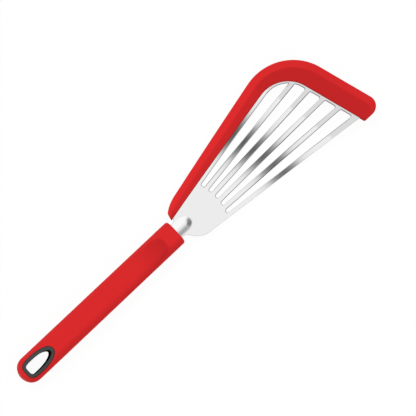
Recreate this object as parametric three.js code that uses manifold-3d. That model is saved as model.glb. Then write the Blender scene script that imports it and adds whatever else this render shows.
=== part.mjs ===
// Slotted kitchen turner: a bent stainless blade with a fan of slots and a soft edge moulded round its left
// and front sides, on a soft-grip handle with a thumb dip and a lined hanging hole.
// Millimetres, +Z up. It lies on a table: the flat underside of the handle and the belly of the blade both
// touch it. X runs from the butt of the handle to the tip, Y to the left.
// While it is built, x = 0 is the front face of the handle, y = 0 its middle and z = 0 the table.
import * as THREE from 'three';
import { mergeVertices } from 'three/addons/utils/BufferGeometryUtils.js';
import Module from 'manifold-3d';

const wasm = await Module();
wasm.setup();

const { degToRad } = THREE.MathUtils;

// Handle
const HANDLE_LENGTH = 157.6;
const HANDLE_BUTT_WIDTH = 20.8;
const HANDLE_FRONT_WIDTH = 20.3;
const HANDLE_THICKNESS = 15;
const HANDLE_EDGE_RADIUS = 6;
const HANDLE_FRONT_ROUND = 1.5;
const HANDLE_BUTT_ROUND = 3;
const HANDLE_BUTT_POWER = 2.3;
const HANDLE_MIDDLE_Z = HANDLE_THICKNESS / 2;

// Soft sleeve over the hard core of the handle
const GRIP_WALL = 2.6;
const GRIP_FRONT_WALL = 4;
const CORE_REAR_WALL = 3;

// Thumb dip, the caps of two half ellipsoids sunk into the top of the handle: a short one in front of the
// deepest place and a long one behind it
const DIP_SETBACK = 44;
const DIP_FRONT_LENGTH = 32.2;
const DIP_REAR_LENGTH = 62;
const DIP_WIDTH = 29;
const DIP_DEPTH = 3;
const DIP_BALL_HEIGHT = 60;

// Liner of the hanging hole, an egg that is blunt at the butt and slim towards the blade. Its two halves meet
// where it is widest and are superellipses, whose powers say how square they are.
const RING_SETBACK = 3.2;
const RING_LENGTH = 27.5;
const RING_WIDTH = 14.2;
const RING_REAR_LENGTH = 9.8;
const RING_REAR_POWER = 3.2;
const RING_FRONT_POWER = 2.2;
const RING_WALL = 2.7;
const RING_FLANGE_WIDTH = 1;
const RING_FLANGE_HEIGHT = 3;

// Head, from the front face of the handle to the tip
const HEAD_LENGTH = 175.6;
const END_CUT_Y = -36.35;
const TIP_RADIUS = 8.1;
const FRONT_SKEW = degToRad(16.7);
const CORNER_RADIUS = 39.8;
const LEFT_EDGE_SLOPE = Math.tan(degToRad(13.24));
const SHOULDER_X = 18.9;
const SHOULDER_Y = 20.15;

// Soft edge
const FRONT_BAND = 17.6;
const SIDE_BAND_OFFSET = 1.6;
const BAND_CORNER_RADIUS = 24.5;
const LIP_HALF_THICKNESS = 1.9;
const LIP_EDGE_HALF_THICKNESS = 0.6;
const LIP_CHAMFER = 0.4;
const BEVEL_WIDTH = 5.8;
const BEVEL_SHARE = 0.5;
const LIP_OVERHANG = 3.5;
const NOSE_X = 5.4;
const NOSE_Y = 13.8;
const NOSE_INNER_X = 4.3;
const NOSE_INNER_DROP = 0.5;
const NOSE_BULGE = 9;
const END_CORNER = 0.6;
const TIP_INNER_SHARE = 0.7;

// Sheet of the blade, its neck and the tang inside the handle
const SHEET = 1.2;
const NECK_WIDTH = 12.9;
const NECK_LENGTH = 4.4;
const NECK_FILLET = 2.5;
const HEEL_FLARE = Math.tan(degToRad(50.2));
const HEEL_RADIUS = 15;
const RIGHT_EDGE_SLOPE = Math.tan(degToRad(-6.02));
const RIGHT_EDGE_X = 18.1;
const RIGHT_EDGE_Y = -17.15;
const TANG_LENGTH = 76;
const TANG_END_RADIUS = 4;
const TANG_HOLE_RADIUS = 2.5;
const TANG_HOLE_COUNT = 3;
const TANG_HOLE_PITCH = 20;
const TANG_HOLE_MARGIN = 10;

// Stiffening rib pressed up out of the neck, with a soft foot
const RIB_WIDTH = 12;
const RIB_HEIGHT = 3.4;
const RIB_END_X = 17;
const RIB_LENGTH = 29;
const RIB_TIP_LENGTH = 8.5;

// Fan of bars and slots: every bar points at one apex beside the handle, and the slots start on an arc round
// a point near the neck. The first bar lies partly under the soft edge.
const FAN_X = -72.7;
const FAN_Y = -7.5;
const FAN_FIRST_SLOPE = 0.1906;
const FAN_SLOPE_STEP = 0.057;
const BAR_WIDTH = 3.8;
const FIRST_BAR_MARGIN = 1.3;
const SLOT_COUNT = 5;
const SLOT_START_X = -1.3;
const SLOT_START_Y = -1.85;
const SLOT_START_RADIUS = 42.2;
const SLOT_END_RADIUS = 1.6;
const SLOT_CORNER_RADIUS = 1.3;
const FRONT_RIM = 1.7;
const RIM_CORNER_RADIUS = 20;

// Holes in the margin of the blade that key the soft edge to it
const KEY_RADIUS = 1.5;
const SIDE_KEYS = 6;
const CORNER_KEYS = 3;
const FRONT_KEYS = 4;

// Bend of the blade, seen from the side. The bend runs askew, between square to the handle and the slanted
// front: it comes sooner on the left.
const BEND_SKEW = Math.tan(degToRad(10));
const NECK_BEND_SETBACK = 14.4;
const NECK_BEND_RADIUS = 40;
const BELLY_START = 32.4;
const BELLY_RADIUS = 420;
const FRONT_FLAT = 33;

// Room between two pieces that are moulded one round the other
const SEAM = 0.3;

// Fineness of the facets
const ROUND_STEPS = 6;
const BELLY_STEPS = 16;
const EDGE_STEPS = 5;
const SIDE_STEPS = 9;
const CORNER_STEPS = 14;
const BALL_RINGS = 72;
const BALL_SIDES = 48;
const RING_STEPS = 40;
const RIB_STEPS = 8;
const END_STEPS = 2;

const HALF_TURN = Math.PI;
const QUARTER_TURN = Math.PI / 2;
const TALL = 100;
const TINY = 0.05;

// Solids

function toSolid(geometry) {
  const bare = geometry.clone();
  bare.deleteAttribute('normal');
  bare.deleteAttribute('uv');
  const merged = mergeVertices(bare);
  const index = Array.from(merged.index.array);
  const faces = [];
  for (let i = 0; i < index.length; i += 3) {
    const [a, b, c] = index.slice(i, i + 3);
    if (a !== b && b !== c && c !== a) faces.push(a, b, c);
  }
  const mesh = new wasm.Mesh({
    numProp: 3,
    vertProperties: new Float32Array(merged.attributes.position.array),
    triVerts: new Uint32Array(faces),
  });
  return new wasm.Manifold(mesh);
}

function toMesh(name, solid, look) {
  const { vertProperties, triVerts } = solid.getMesh();
  const geometry = new THREE.BufferGeometry();
  geometry.setAttribute('position', new THREE.BufferAttribute(vertProperties, 3));
  geometry.setIndex(new THREE.BufferAttribute(triVerts, 1));
  geometry.computeVertexNormals();
  const mesh = new THREE.Mesh(geometry, new THREE.MeshStandardMaterial(look));
  mesh.name = name;
  return mesh;
}

// A closed skin through rings of points, all with as many points, with a flat cap on each end.
function loft(rings) {
  const count = rings[0].length;
  const last = (rings.length - 1) * count;
  const faces = [];
  for (let ring = 0; ring < last; ring += count) {
    for (let i = 0; i < count; i += 1) {
      const a = ring + i;
      const b = ring + ((i + 1) % count);
      faces.push(a, b, b + count, a, b + count, a + count);
    }
  }
  for (let i = 1; i + 1 < count; i += 1) {
    faces.push(0, i + 1, i);
    faces.push(last, last + i, last + i + 1);
  }
  const geometry = new THREE.BufferGeometry();
  geometry.setFromPoints(rings.flat());
  geometry.setIndex(faces);
  return toSolid(geometry);
}

// An upright prism of a plan outline that reaches from the height low to the height high.
function prism(shape, low = -TALL, high = TALL) {
  const geometry = new THREE.ExtrudeGeometry(shape, {
    depth: high - low,
    bevelEnabled: false,
    curveSegments: ROUND_STEPS / 2,
  });
  return toSolid(geometry.translate(0, 0, low));
}

// Plane geometry of the outlines

const point = (x, y) => new THREE.Vector2(x, y);
const lineThrough = (start, slope) => ({ start, along: point(1, slope).normalize() });
const leftOf = (direction) => point(-direction.y, direction.x);

function shifted(line, distance) {
  return { start: line.start.clone().addScaledVector(leftOf(line.along), distance), along: line.along };
}

function meeting(one, other) {
  const gap = other.start.clone().sub(one.start);
  const reach = gap.cross(other.along) / one.along.cross(other.along);
  return one.start.clone().addScaledVector(one.along, reach);
}

const corner = (at, radius = 0) => ({ at, radius });

// The fillet of a corner: its centre, its two tangent points and the radius that fits the sides next to it.
function fillet(before, { at, radius }, after) {
  const back = before.at.clone().sub(at);
  const ahead = after.at.clone().sub(at);
  const room = Math.min(back.length(), ahead.length()) / 2;
  back.normalize();
  ahead.normalize();
  const half = Math.acos(THREE.MathUtils.clamp(back.dot(ahead), -1, 1)) / 2;
  const reach = Math.min(radius / Math.tan(half), room);
  const fitted = reach * Math.tan(half);
  const middle = back.clone().add(ahead).normalize();
  return {
    start: at.clone().addScaledVector(back, reach),
    end: at.clone().addScaledVector(ahead, reach),
    centre: at.clone().addScaledVector(middle, fitted / Math.sin(half)),
    radius: fitted,
    clockwise: back.cross(ahead) > 0,
  };
}

const angleFrom = (centre, at) => Math.atan2(at.y - centre.y, at.x - centre.x);

// A closed outline, counter-clockwise, with rounded corners.
function outline(corners) {
  const path = new THREE.Shape();
  corners.forEach((here, i) => {
    const before = corners.at(i - 1);
    const after = corners[(i + 1) % corners.length];
    const round = here.radius > 0 ? fillet(before, here, after) : { start: here.at };
    if (i === 0) path.moveTo(round.start.x, round.start.y);
    else path.lineTo(round.start.x, round.start.y);
    if (here.radius > 0) {
      const { centre, start, end, radius, clockwise } = round;
      path.absarc(centre.x, centre.y, radius, angleFrom(centre, start), angleFrom(centre, end), clockwise);
    }
  });
  path.closePath();
  return path;
}

// The same outline with every side moved outwards, and its roundings kept concentric.
function grown(corners, distance) {
  const sides = corners.map((here, i) => {
    const after = corners[(i + 1) % corners.length];
    const along = after.at.clone().sub(here.at).normalize();
    return shifted({ start: here.at, along }, -distance);
  });
  return corners.map((here, i) => {
    const side = sides.at(i - 1);
    const bulges = side.along.cross(sides[i].along) > 0;
    const radius = Math.max(here.radius + (bulges ? distance : -distance), 0);
    return corner(meeting(side, sides[i]), radius);
  });
}

function hole(centre, radius) {
  return new THREE.Path().absarc(centre.x, centre.y, radius, 0, 2 * HALF_TURN, true);
}

// Side view of the sheet: it leaves the handle level, dips through the neck and the heel, and the belly bends
// it up again. The dip is as steep as brings the soft edge down to the table at the belly.

const HEEL_RUN = BELLY_START + NECK_BEND_SETBACK;
const BELLY_DROP = HANDLE_MIDDLE_Z - LIP_HALF_THICKNESS;
const BEND_SUM = BELLY_RADIUS + NECK_BEND_RADIUS;
const HEEL_DIP = (Math.sqrt(HEEL_RUN ** 2 + 2 * BEND_SUM * BELLY_DROP) - HEEL_RUN) / BEND_SUM;
const NECK_BEND_X = -NECK_BEND_SETBACK - NECK_BEND_RADIUS * Math.sin(HEEL_DIP);
const BELLY_X = BELLY_START + BELLY_RADIUS * Math.sin(HEEL_DIP);
const BELLY_END = HEAD_LENGTH - FRONT_FLAT;
const TIP_RISE = Math.asin((BELLY_END - BELLY_X) / BELLY_RADIUS);

function profileHeight(x) {
  const neckBottom = HANDLE_MIDDLE_Z - NECK_BEND_RADIUS * (1 - Math.cos(HEEL_DIP));
  if (x < NECK_BEND_X) return HANDLE_MIDDLE_Z;
  if (x < -NECK_BEND_SETBACK) {
    return HANDLE_MIDDLE_Z - NECK_BEND_RADIUS + Math.sqrt(NECK_BEND_RADIUS ** 2 - (x - NECK_BEND_X) ** 2);
  }
  if (x < BELLY_START) return neckBottom - (x + NECK_BEND_SETBACK) * Math.tan(HEEL_DIP);
  const bellyTop = neckBottom - HEEL_RUN * Math.tan(HEEL_DIP);
  const centre = bellyTop + BELLY_RADIUS * Math.cos(HEEL_DIP);
  if (x < BELLY_END) return centre - Math.sqrt(BELLY_RADIUS ** 2 - (x - BELLY_X) ** 2);
  return centre - BELLY_RADIUS * Math.cos(TIP_RISE) + (x - BELLY_END) * Math.tan(TIP_RISE);
}

// Height of the middle of the sheet over a point of the plan.
const sheetHeight = ({ x, y }) => profileHeight(x + BEND_SKEW * y);

// Where the side view needs a point: at the ends, and along the two bends.
function sheetStations() {
  const stations = [-TANG_LENGTH - TALL];
  for (let i = 0; i <= ROUND_STEPS; i += 1) {
    stations.push(THREE.MathUtils.lerp(NECK_BEND_X, -NECK_BEND_SETBACK, i / ROUND_STEPS));
  }
  for (let i = 0; i <= BELLY_STEPS; i += 1) {
    stations.push(THREE.MathUtils.lerp(BELLY_START, BELLY_END, i / BELLY_STEPS));
  }
  stations.push(HEAD_LENGTH + TALL);
  return stations;
}

// A layer that follows the bend, between two heights above the middle of the sheet.
function bentLayer(low, high) {
  const stations = sheetStations();
  const under = stations.map((x) => point(x, profileHeight(x) + low));
  const over = stations.map((x) => point(x, profileHeight(x) + high));
  const geometry = new THREE.ExtrudeGeometry(new THREE.Shape(under.concat(over.reverse())), {
    depth: 2 * TALL,
    bevelEnabled: false,
  });
  const askew = new THREE.Matrix4().makeShear(0, 0, -BEND_SKEW, 0, 0, 0);
  return toSolid(geometry.rotateX(QUARTER_TURN).translate(0, TALL, 0).applyMatrix4(askew));
}

// Edge lines of the head

const tipCentre = point(HEAD_LENGTH - TIP_RADIUS, END_CUT_Y + TIP_RADIUS);
const frontNormal = point(Math.cos(FRONT_SKEW), Math.sin(FRONT_SKEW));
const frontLine = {
  start: tipCentre.clone().addScaledVector(frontNormal, TIP_RADIUS),
  along: leftOf(frontNormal),
};
const leftLine = lineThrough(point(SHOULDER_X, SHOULDER_Y), LEFT_EDGE_SLOPE);
const rightLine = lineThrough(point(RIGHT_EDGE_X, RIGHT_EDGE_Y), RIGHT_EDGE_SLOPE);
const endLine = { start: point(0, END_CUT_Y), along: point(1, 0) };

const barLine = (i) => lineThrough(point(FAN_X, FAN_Y), FAN_FIRST_SLOPE - i * FAN_SLOPE_STEP);
const bandSideLine = shifted(barLine(0), SIDE_BAND_OFFSET);
const bandFrontLine = shifted(frontLine, FRONT_BAND);

// Soft edge: pairs of curves, one along its outside and one along its inside, from the nose to the end cut

function bandCurves() {
  const outerCorner = corner(meeting(leftLine, frontLine), CORNER_RADIUS);
  const innerCorner = corner(meeting(bandSideLine, bandFrontLine), BAND_CORNER_RADIUS);
  const shoulder = leftLine.start;
  const nose = point(NOSE_X, NOSE_Y);
  const noseControl = shoulder.clone().addScaledVector(leftLine.along, -NOSE_BULGE);
  const innerNose = meeting(bandSideLine, { start: point(NOSE_INNER_X, 0), along: point(0, 1) });
  innerNose.y -= NOSE_INNER_DROP;
  const outerArc = fillet(corner(shoulder), outerCorner, corner(frontLine.start));
  const innerEnd = meeting(bandFrontLine, shifted(endLine, END_CORNER));
  const outerEnd = meeting(bandFrontLine, endLine).add(point(END_CORNER, 0));
  const innerArc = fillet(corner(innerNose), innerCorner, corner(innerEnd));
  const innerShoulder = meeting(bandSideLine, { start: shoulder, along: leftOf(leftLine.along) });
  innerShoulder.y -= NOSE_INNER_DROP / 2;
  const innerTip = meeting(bandFrontLine, { start: tipCentre, along: frontNormal });
  const tipBottom = point(tipCentre.x, END_CUT_Y);
  const arc = ({ centre, radius, start, end }) => new THREE.ArcCurve(
    centre.x, centre.y, radius, angleFrom(centre, start), angleFrom(centre, end), true,
  );
  const tip = new THREE.ArcCurve(tipCentre.x, tipCentre.y, TIP_RADIUS, FRONT_SKEW, -QUARTER_TURN, true);
  const straight = (from, to) => new THREE.LineCurve(from, to);
  const innerTipBottom = innerTip.clone().lerp(innerEnd, TIP_INNER_SHARE);
  return {
    nose: [new THREE.QuadraticBezierCurve(nose, noseControl, shoulder), straight(innerNose, innerShoulder)],
    side: [straight(shoulder, outerArc.start), straight(innerShoulder, innerArc.start)],
    corner: [arc(outerArc), arc(innerArc)],
    front: [straight(outerArc.end, frontLine.start), straight(innerArc.end, innerTip)],
    tip: [tip, straight(innerTip, innerTipBottom)],
    end: [straight(tipBottom, outerEnd), straight(innerTipBottom, innerEnd)],
  };
}

const band = bandCurves();

// One cross-section of the soft edge: a flat inner part, a bevel down to a thin outer edge, alike underneath.
function bandSection(outer, inner) {
  const width = outer.distanceTo(inner);
  const bevelStart = width - Math.min(BEVEL_WIDTH, width * BEVEL_SHARE);
  const chamfer = Math.min(LIP_CHAMFER, bevelStart / 2);
  const upper = [
    [width, LIP_EDGE_HALF_THICKNESS / 2],
    [width - chamfer, LIP_EDGE_HALF_THICKNESS],
    [bevelStart, LIP_HALF_THICKNESS],
    [chamfer, LIP_HALF_THICKNESS],
    [0, LIP_HALF_THICKNESS - chamfer],
  ];
  const lower = upper.map(([across, height]) => [across, -height]).reverse();
  return upper.concat(lower).map(([across, height]) => {
    const at = inner.clone().lerp(outer, across / width);
    return new THREE.Vector3(at.x, at.y, sheetHeight(at) + height);
  });
}

function bandBody() {
  const steps = {
    nose: ROUND_STEPS,
    side: SIDE_STEPS,
    corner: CORNER_STEPS,
    front: SIDE_STEPS,
    tip: ROUND_STEPS,
    end: END_STEPS,
  };
  const rings = [];
  Object.entries(band).forEach(([stretch, [outer, inner]]) => {
    const first = rings.length === 0 ? 0 : 1;
    for (let i = first; i <= steps[stretch]; i += 1) {
      const share = i / steps[stretch];
      rings.push(bandSection(outer.getPoint(share), inner.getPoint(share)));
    }
  });
  return loft(rings);
}

// Blade

function bladeCorners() {
  const halfNeck = NECK_WIDTH / 2;
  const rightFlare = lineThrough(point(NECK_LENGTH, -halfNeck), -HEEL_FLARE);
  const leftFlare = lineThrough(point(NECK_LENGTH, halfNeck), HEEL_FLARE);
  const steelLeft = shifted(leftLine, -LIP_OVERHANG);
  const steelFront = shifted(frontLine, LIP_OVERHANG);
  return [
    corner(point(-TANG_LENGTH, halfNeck), TANG_END_RADIUS),
    corner(point(-TANG_LENGTH, -halfNeck), TANG_END_RADIUS),
    corner(rightFlare.start, NECK_FILLET),
    corner(meeting(rightFlare, rightLine), HEEL_RADIUS),
    corner(meeting(rightLine, steelFront), TIP_RADIUS - LIP_OVERHANG),
    corner(meeting(steelFront, steelLeft), CORNER_RADIUS - LIP_OVERHANG),
    corner(meeting(leftFlare, steelLeft), HEEL_RADIUS),
    corner(leftFlare.start, NECK_FILLET),
  ];
}

// Centres of the holes that key the soft edge, halfway across the margin of the blade that it covers.
function keyCentres() {
  const rows = [[band.side, SIDE_KEYS], [band.corner, CORNER_KEYS], [band.front, FRONT_KEYS]];
  return rows.flatMap(([[outer, inner], count]) => Array.from({ length: count }, (_, i) => {
    const share = (i + 0.5) / count;
    const edge = outer.getPoint(share);
    const start = inner.getPoint(share);
    const covered = 1 - LIP_OVERHANG / start.distanceTo(edge);
    return start.lerp(edge, covered / 2);
  }));
}

function tangHoleCentres() {
  return Array.from({ length: TANG_HOLE_COUNT }, (_, i) => (
    point(-TANG_LENGTH + TANG_HOLE_MARGIN + i * TANG_HOLE_PITCH, 0)
  ));
}

// The edge of a bar that faces the slot on its right.
const rightEdge = (i) => shifted(barLine(i), i === 0 ? -FIRST_BAR_MARGIN : -BAR_WIDTH / 2);

// The line that the front ends of the slots keep to: along the first bar, round the corner, along the front.
function rimLine() {
  const side = rightEdge(0);
  const front = shifted(bandFrontLine, FRONT_RIM);
  const turn = corner(meeting(side, front), RIM_CORNER_RADIUS);
  const far = meeting(front, endLine);
  const { centre, radius, start, end } = fillet(corner(side.start), turn, corner(far));
  const arc = new THREE.ArcCurve(
    centre.x, centre.y, radius, angleFrom(centre, start), angleFrom(centre, end), true,
  );
  return arc.getPoints(CORNER_STEPS).concat(far);
}

// Where a straight line crosses a row of points: the place, and the number of the point after it.
function crossing(line, row) {
  const side = (at) => line.along.cross(at.clone().sub(line.start));
  const next = row.findIndex((at, i) => i > 0 && side(row[i - 1]) > 0 && side(at) <= 0);
  const along = row[next].clone().sub(row[next - 1]);
  return { at: meeting(line, { start: row[next - 1], along }), next };
}

// Where a line from the fan's apex meets the arc on which the slots start.
function slotStart({ start, along }) {
  const gap = start.clone().sub(point(SLOT_START_X, SLOT_START_Y));
  const back = gap.dot(along);
  const reach = Math.sqrt(back ** 2 - gap.lengthSq() + SLOT_START_RADIUS ** 2) - back;
  return start.clone().addScaledVector(along, reach);
}

function slotCorners(i, rim) {
  const upper = rightEdge(i);
  const lower = shifted(barLine(i + 1), BAR_WIDTH / 2);
  const low = crossing(lower, rim);
  const high = i === 0 ? { next: 0 } : crossing(upper, rim);
  const frontEnd = rim.slice(high.next, low.next).reverse().map((at) => corner(at));
  const corners = [
    corner(slotStart(upper), SLOT_END_RADIUS),
    corner(slotStart(lower), SLOT_END_RADIUS),
    corner(low.at, SLOT_CORNER_RADIUS),
    ...frontEnd,
  ];
  if (i > 0) corners.push(corner(high.at, SLOT_CORNER_RADIUS));
  return corners;
}

// A contour of the rib, at a share of the way from its crest to its foot: straight sides, a long round tip in
// front and a half circle at the rear.
function ribContour(share) {
  const half = RIB_WIDTH / 2;
  const tip = { centre: RIB_END_X - RIB_TIP_LENGTH, length: RIB_TIP_LENGTH, start: -QUARTER_TURN };
  const rear = { centre: RIB_END_X - RIB_LENGTH + half, length: half, start: QUARTER_TURN };
  const contour = [];
  for (const { centre, length, start } of [tip, rear]) {
    for (let i = 0; i <= 2 * ROUND_STEPS; i += 1) {
      const turn = start + HALF_TURN * i / (2 * ROUND_STEPS);
      contour.push(point(centre + share * length * Math.cos(turn), share * half * Math.sin(turn)));
    }
  }
  return contour;
}

// The room under a face that follows the rib, down to a floor, both given as heights over the plain sheet.
function underRib(floor, face) {
  const lifted = (share, height) => ribContour(share).map((at) => (
    new THREE.Vector3(at.x, at.y, sheetHeight(at) + height)
  ));
  const rings = [lifted(1, floor)];
  for (let step = 0; step < RIB_STEPS; step += 1) {
    const share = 1 - step / RIB_STEPS;
    rings.push(lifted(share, face + RIB_HEIGHT * (1 - share ** 2) ** 2));
  }
  return loft(rings);
}

// The blade without its slots, made larger all round by a seam where it is to cut a pocket.
function bladeBody(seam) {
  const plan = outline(grown(bladeCorners(), seam));
  keyCentres().forEach((centre) => plan.holes.push(hole(centre, KEY_RADIUS - seam)));
  tangHoleCentres().forEach((centre) => plan.holes.push(hole(centre, TANG_HOLE_RADIUS - seam)));
  const half = SHEET / 2 + seam;
  return prism(plan)
    .intersect(bentLayer(-half, half))
    .add(underRib(0, half - TINY))
    .subtract(underRib(-RIB_HEIGHT, -half - TINY));
}

function slottedBlade() {
  const rim = rimLine();
  let blade = bladeBody(0);
  for (let i = 0; i < SLOT_COUNT; i += 1) {
    blade = blade.subtract(prism(outline(slotCorners(i, rim))));
  }
  return blade;
}

// Handle

// A rounded rectangle across the handle, counter-clockwise seen from the front.
function barSection(x, halfWidth, halfHeight, edgeRadius) {
  const radius = Math.min(edgeRadius, halfWidth, halfHeight);
  const ring = [];
  for (let quarter = 0; quarter < 4; quarter += 1) {
    const y = (quarter === 0 || quarter === 3 ? 1 : -1) * (halfWidth - radius);
    const z = HANDLE_MIDDLE_Z + (quarter < 2 ? 1 : -1) * (halfHeight - radius);
    for (let i = 0; i <= EDGE_STEPS; i += 1) {
      const turn = (quarter + i / EDGE_STEPS) * QUARTER_TURN;
      ring.push(new THREE.Vector3(x, y + radius * Math.cos(turn), z + radius * Math.sin(turn)));
    }
  }
  return ring;
}

// How far a rounding of the given radius has drawn a face in, at a depth behind its end. A power over 2 makes
// the rounding squarer than a circle.
function drawnIn(radius, depth, power = 2) {
  const short = Math.max(radius - depth, 0);
  return radius - (radius ** power - short ** power) ** (1 / power);
}

const halfWidthAt = (x) => THREE.MathUtils.mapLinear(
  x, -HANDLE_LENGTH, 0, HANDLE_BUTT_WIDTH / 2, HANDLE_FRONT_WIDTH / 2,
);

// The outside of the handle: a round butt, straight sides that taper a little, and a flat front.
function handleBody() {
  const buttRadius = HANDLE_BUTT_WIDTH / 2;
  const halfHeight = HANDLE_THICKNESS / 2;
  const rings = [];
  const buttSteps = 2 * ROUND_STEPS;
  for (let i = 0; i <= buttSteps; i += 1) {
    const depth = Math.max(buttRadius * (1 - Math.cos(QUARTER_TURN * i / buttSteps)), TINY);
    const halfWidth = halfWidthAt(depth - HANDLE_LENGTH) - drawnIn(buttRadius, depth, HANDLE_BUTT_POWER);
    const height = halfHeight - drawnIn(HANDLE_BUTT_ROUND, depth);
    rings.push(barSection(depth - HANDLE_LENGTH, halfWidth, height, HANDLE_EDGE_RADIUS));
  }
  for (let i = 0; i <= EDGE_STEPS; i += 1) {
    const depth = HANDLE_FRONT_ROUND * (1 - Math.sin(QUARTER_TURN * i / EDGE_STEPS));
    const inset = drawnIn(HANDLE_FRONT_ROUND, depth);
    const radius = HANDLE_EDGE_RADIUS - inset;
    rings.push(barSection(-depth, halfWidthAt(-depth) - inset, halfHeight - inset, radius));
  }
  return loft(rings);
}

// The thumb dip, sunk further by the given depth.
function dipBall(depth) {
  const spread = Math.sqrt(1 - (1 - DIP_DEPTH / DIP_BALL_HEIGHT) ** 2);
  const geometry = new THREE.SphereGeometry(1, BALL_SIDES, BALL_RINGS).rotateX(QUARTER_TURN);
  const places = geometry.attributes.position;
  for (let i = 0; i < places.count; i += 1) {
    const length = places.getX(i) > 0 ? DIP_FRONT_LENGTH : DIP_REAR_LENGTH;
    places.setX(i, places.getX(i) * length);
  }
  geometry.scale(1 / spread, DIP_WIDTH / 2 / spread, DIP_BALL_HEIGHT);
  return toSolid(geometry.translate(-DIP_SETBACK, 0, HANDLE_THICKNESS + DIP_BALL_HEIGHT - DIP_DEPTH - depth));
}

// The hard core under the sleeve, larger all round by a seam where it is to cut a pocket.
function coreBody(seam) {
  const wall = GRIP_WALL - seam;
  const rear = -HANDLE_LENGTH + RING_SETBACK + RING_LENGTH + CORE_REAR_WALL - seam;
  const front = -GRIP_FRONT_WALL + seam;
  const halfHeight = HANDLE_THICKNESS / 2 - wall;
  const edgeRadius = Math.max(HANDLE_EDGE_RADIUS - wall, SEAM);
  const ends = [rear, front].map((x) => barSection(x, halfWidthAt(x) - wall, halfHeight, edgeRadius));
  return loft(ends).subtract(dipBall(wall));
}

// Plan outline of the liner of the hanging hole, moved outwards by a distance.
function ringOutline(distance) {
  const widest = -HANDLE_LENGTH + RING_SETBACK + RING_REAR_LENGTH;
  const halfWidth = RING_WIDTH / 2;
  const bent = (share, power) => Math.sign(share) * Math.abs(share) ** power;
  const points = [];
  for (let i = 0; i < RING_STEPS; i += 1) {
    const turn = 2 * HALF_TURN * i / RING_STEPS;
    const rear = Math.cos(turn) < 0;
    const power = rear ? RING_REAR_POWER : RING_FRONT_POWER;
    const length = rear ? RING_REAR_LENGTH : RING_LENGTH - RING_REAR_LENGTH;
    const along = bent(Math.cos(turn), 2 / power);
    const aside = bent(Math.sin(turn), 2 / power);
    const out = point(bent(along, power - 1) / length, bent(aside, power - 1) / halfWidth).normalize();
    points.push(point(widest + along * length, aside * halfWidth).addScaledVector(out, distance));
  }
  return new THREE.Shape(points);
}

// The liner with its flange and no hole, larger all round by a seam where it is to cut a pocket.
function ringBody(seam) {
  const half = RING_FLANGE_HEIGHT / 2 + seam;
  const flange = prism(ringOutline(RING_FLANGE_WIDTH + seam), HANDLE_MIDDLE_Z - half, HANDLE_MIDDLE_Z + half);
  return prism(ringOutline(seam)).add(flange);
}

// Pieces

const handle = handleBody();
const bladePocket = bladeBody(SEAM);
const core = coreBody(0).subtract(bladePocket);
const grip = handle
  .subtract(dipBall(0))
  .subtract(coreBody(SEAM))
  .subtract(bladePocket)
  .subtract(ringBody(SEAM));
const ring = ringBody(0).subtract(prism(ringOutline(-RING_WALL))).intersect(handle);
const softEdge = bandBody().subtract(bladePocket);

const STEEL = { color: 0xc9cbcc, roughness: 0.22, metalness: 1 };
const SOFT_RED = { color: 0xd62a2c, roughness: 0.55, metalness: 0 };
const GRIP_RED = { color: 0xd42829, roughness: 0.5, metalness: 0 };
const DARK_GREY = { color: 0x3a3f40, roughness: 0.5, metalness: 0 };

const turner = new THREE.Group();
turner.add(toMesh('blade', slottedBlade(), STEEL));
turner.add(toMesh('silicone_edge', softEdge, SOFT_RED));
turner.add(toMesh('handle_core', core, DARK_GREY));
turner.add(toMesh('handle_grip', grip, GRIP_RED));
turner.add(toMesh('hang_ring', ring, DARK_GREY));

// The origin is the middle of the footprint, on the table.
const extent = new THREE.Box3().setFromObject(turner);
const middle = extent.getCenter(new THREE.Vector3());
turner.position.set(-middle.x, -middle.y, -extent.min.z);

export default turner;
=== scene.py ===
# Looks of a slotted kitchen turner: a bent steel blade with a red soft edge, on a red soft-grip handle.
# Sizes are millimetres in the construction frame: x = 0 is the front face of the handle, y = 0 its middle
# and z = 0 the table, with +x towards the tip and +y to the left. Each mesh is moved to metres in the frame
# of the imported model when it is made. Light, the camera's reach and the grain of the materials are in metres.
# Points of a plan outline are complex numbers, x + y j.
import cmath
import math

import bmesh
import bpy
import numpy as np
from mathutils import Matrix, Vector
from mathutils.geometry import delaunay_2d_cdt


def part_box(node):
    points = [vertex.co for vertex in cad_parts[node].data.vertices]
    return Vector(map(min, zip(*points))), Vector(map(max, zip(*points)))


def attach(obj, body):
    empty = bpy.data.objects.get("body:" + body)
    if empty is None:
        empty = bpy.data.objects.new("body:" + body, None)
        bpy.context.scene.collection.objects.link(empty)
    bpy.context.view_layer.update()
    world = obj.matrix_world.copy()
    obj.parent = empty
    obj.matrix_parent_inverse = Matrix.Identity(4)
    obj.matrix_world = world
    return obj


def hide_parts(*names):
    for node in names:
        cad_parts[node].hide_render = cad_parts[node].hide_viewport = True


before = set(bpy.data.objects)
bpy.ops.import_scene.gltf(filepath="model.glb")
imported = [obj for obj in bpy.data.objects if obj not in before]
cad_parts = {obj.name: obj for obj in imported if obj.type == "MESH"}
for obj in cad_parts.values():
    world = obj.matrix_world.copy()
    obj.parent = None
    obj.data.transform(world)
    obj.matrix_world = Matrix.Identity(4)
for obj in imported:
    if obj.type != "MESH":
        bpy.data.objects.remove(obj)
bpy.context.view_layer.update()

MM = 0.001
grip_low, grip_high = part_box("handle_grip")
FRAME_ORIGIN = np.array((grip_high.x, (grip_low.y + grip_high.y) / 2, 0))

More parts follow.
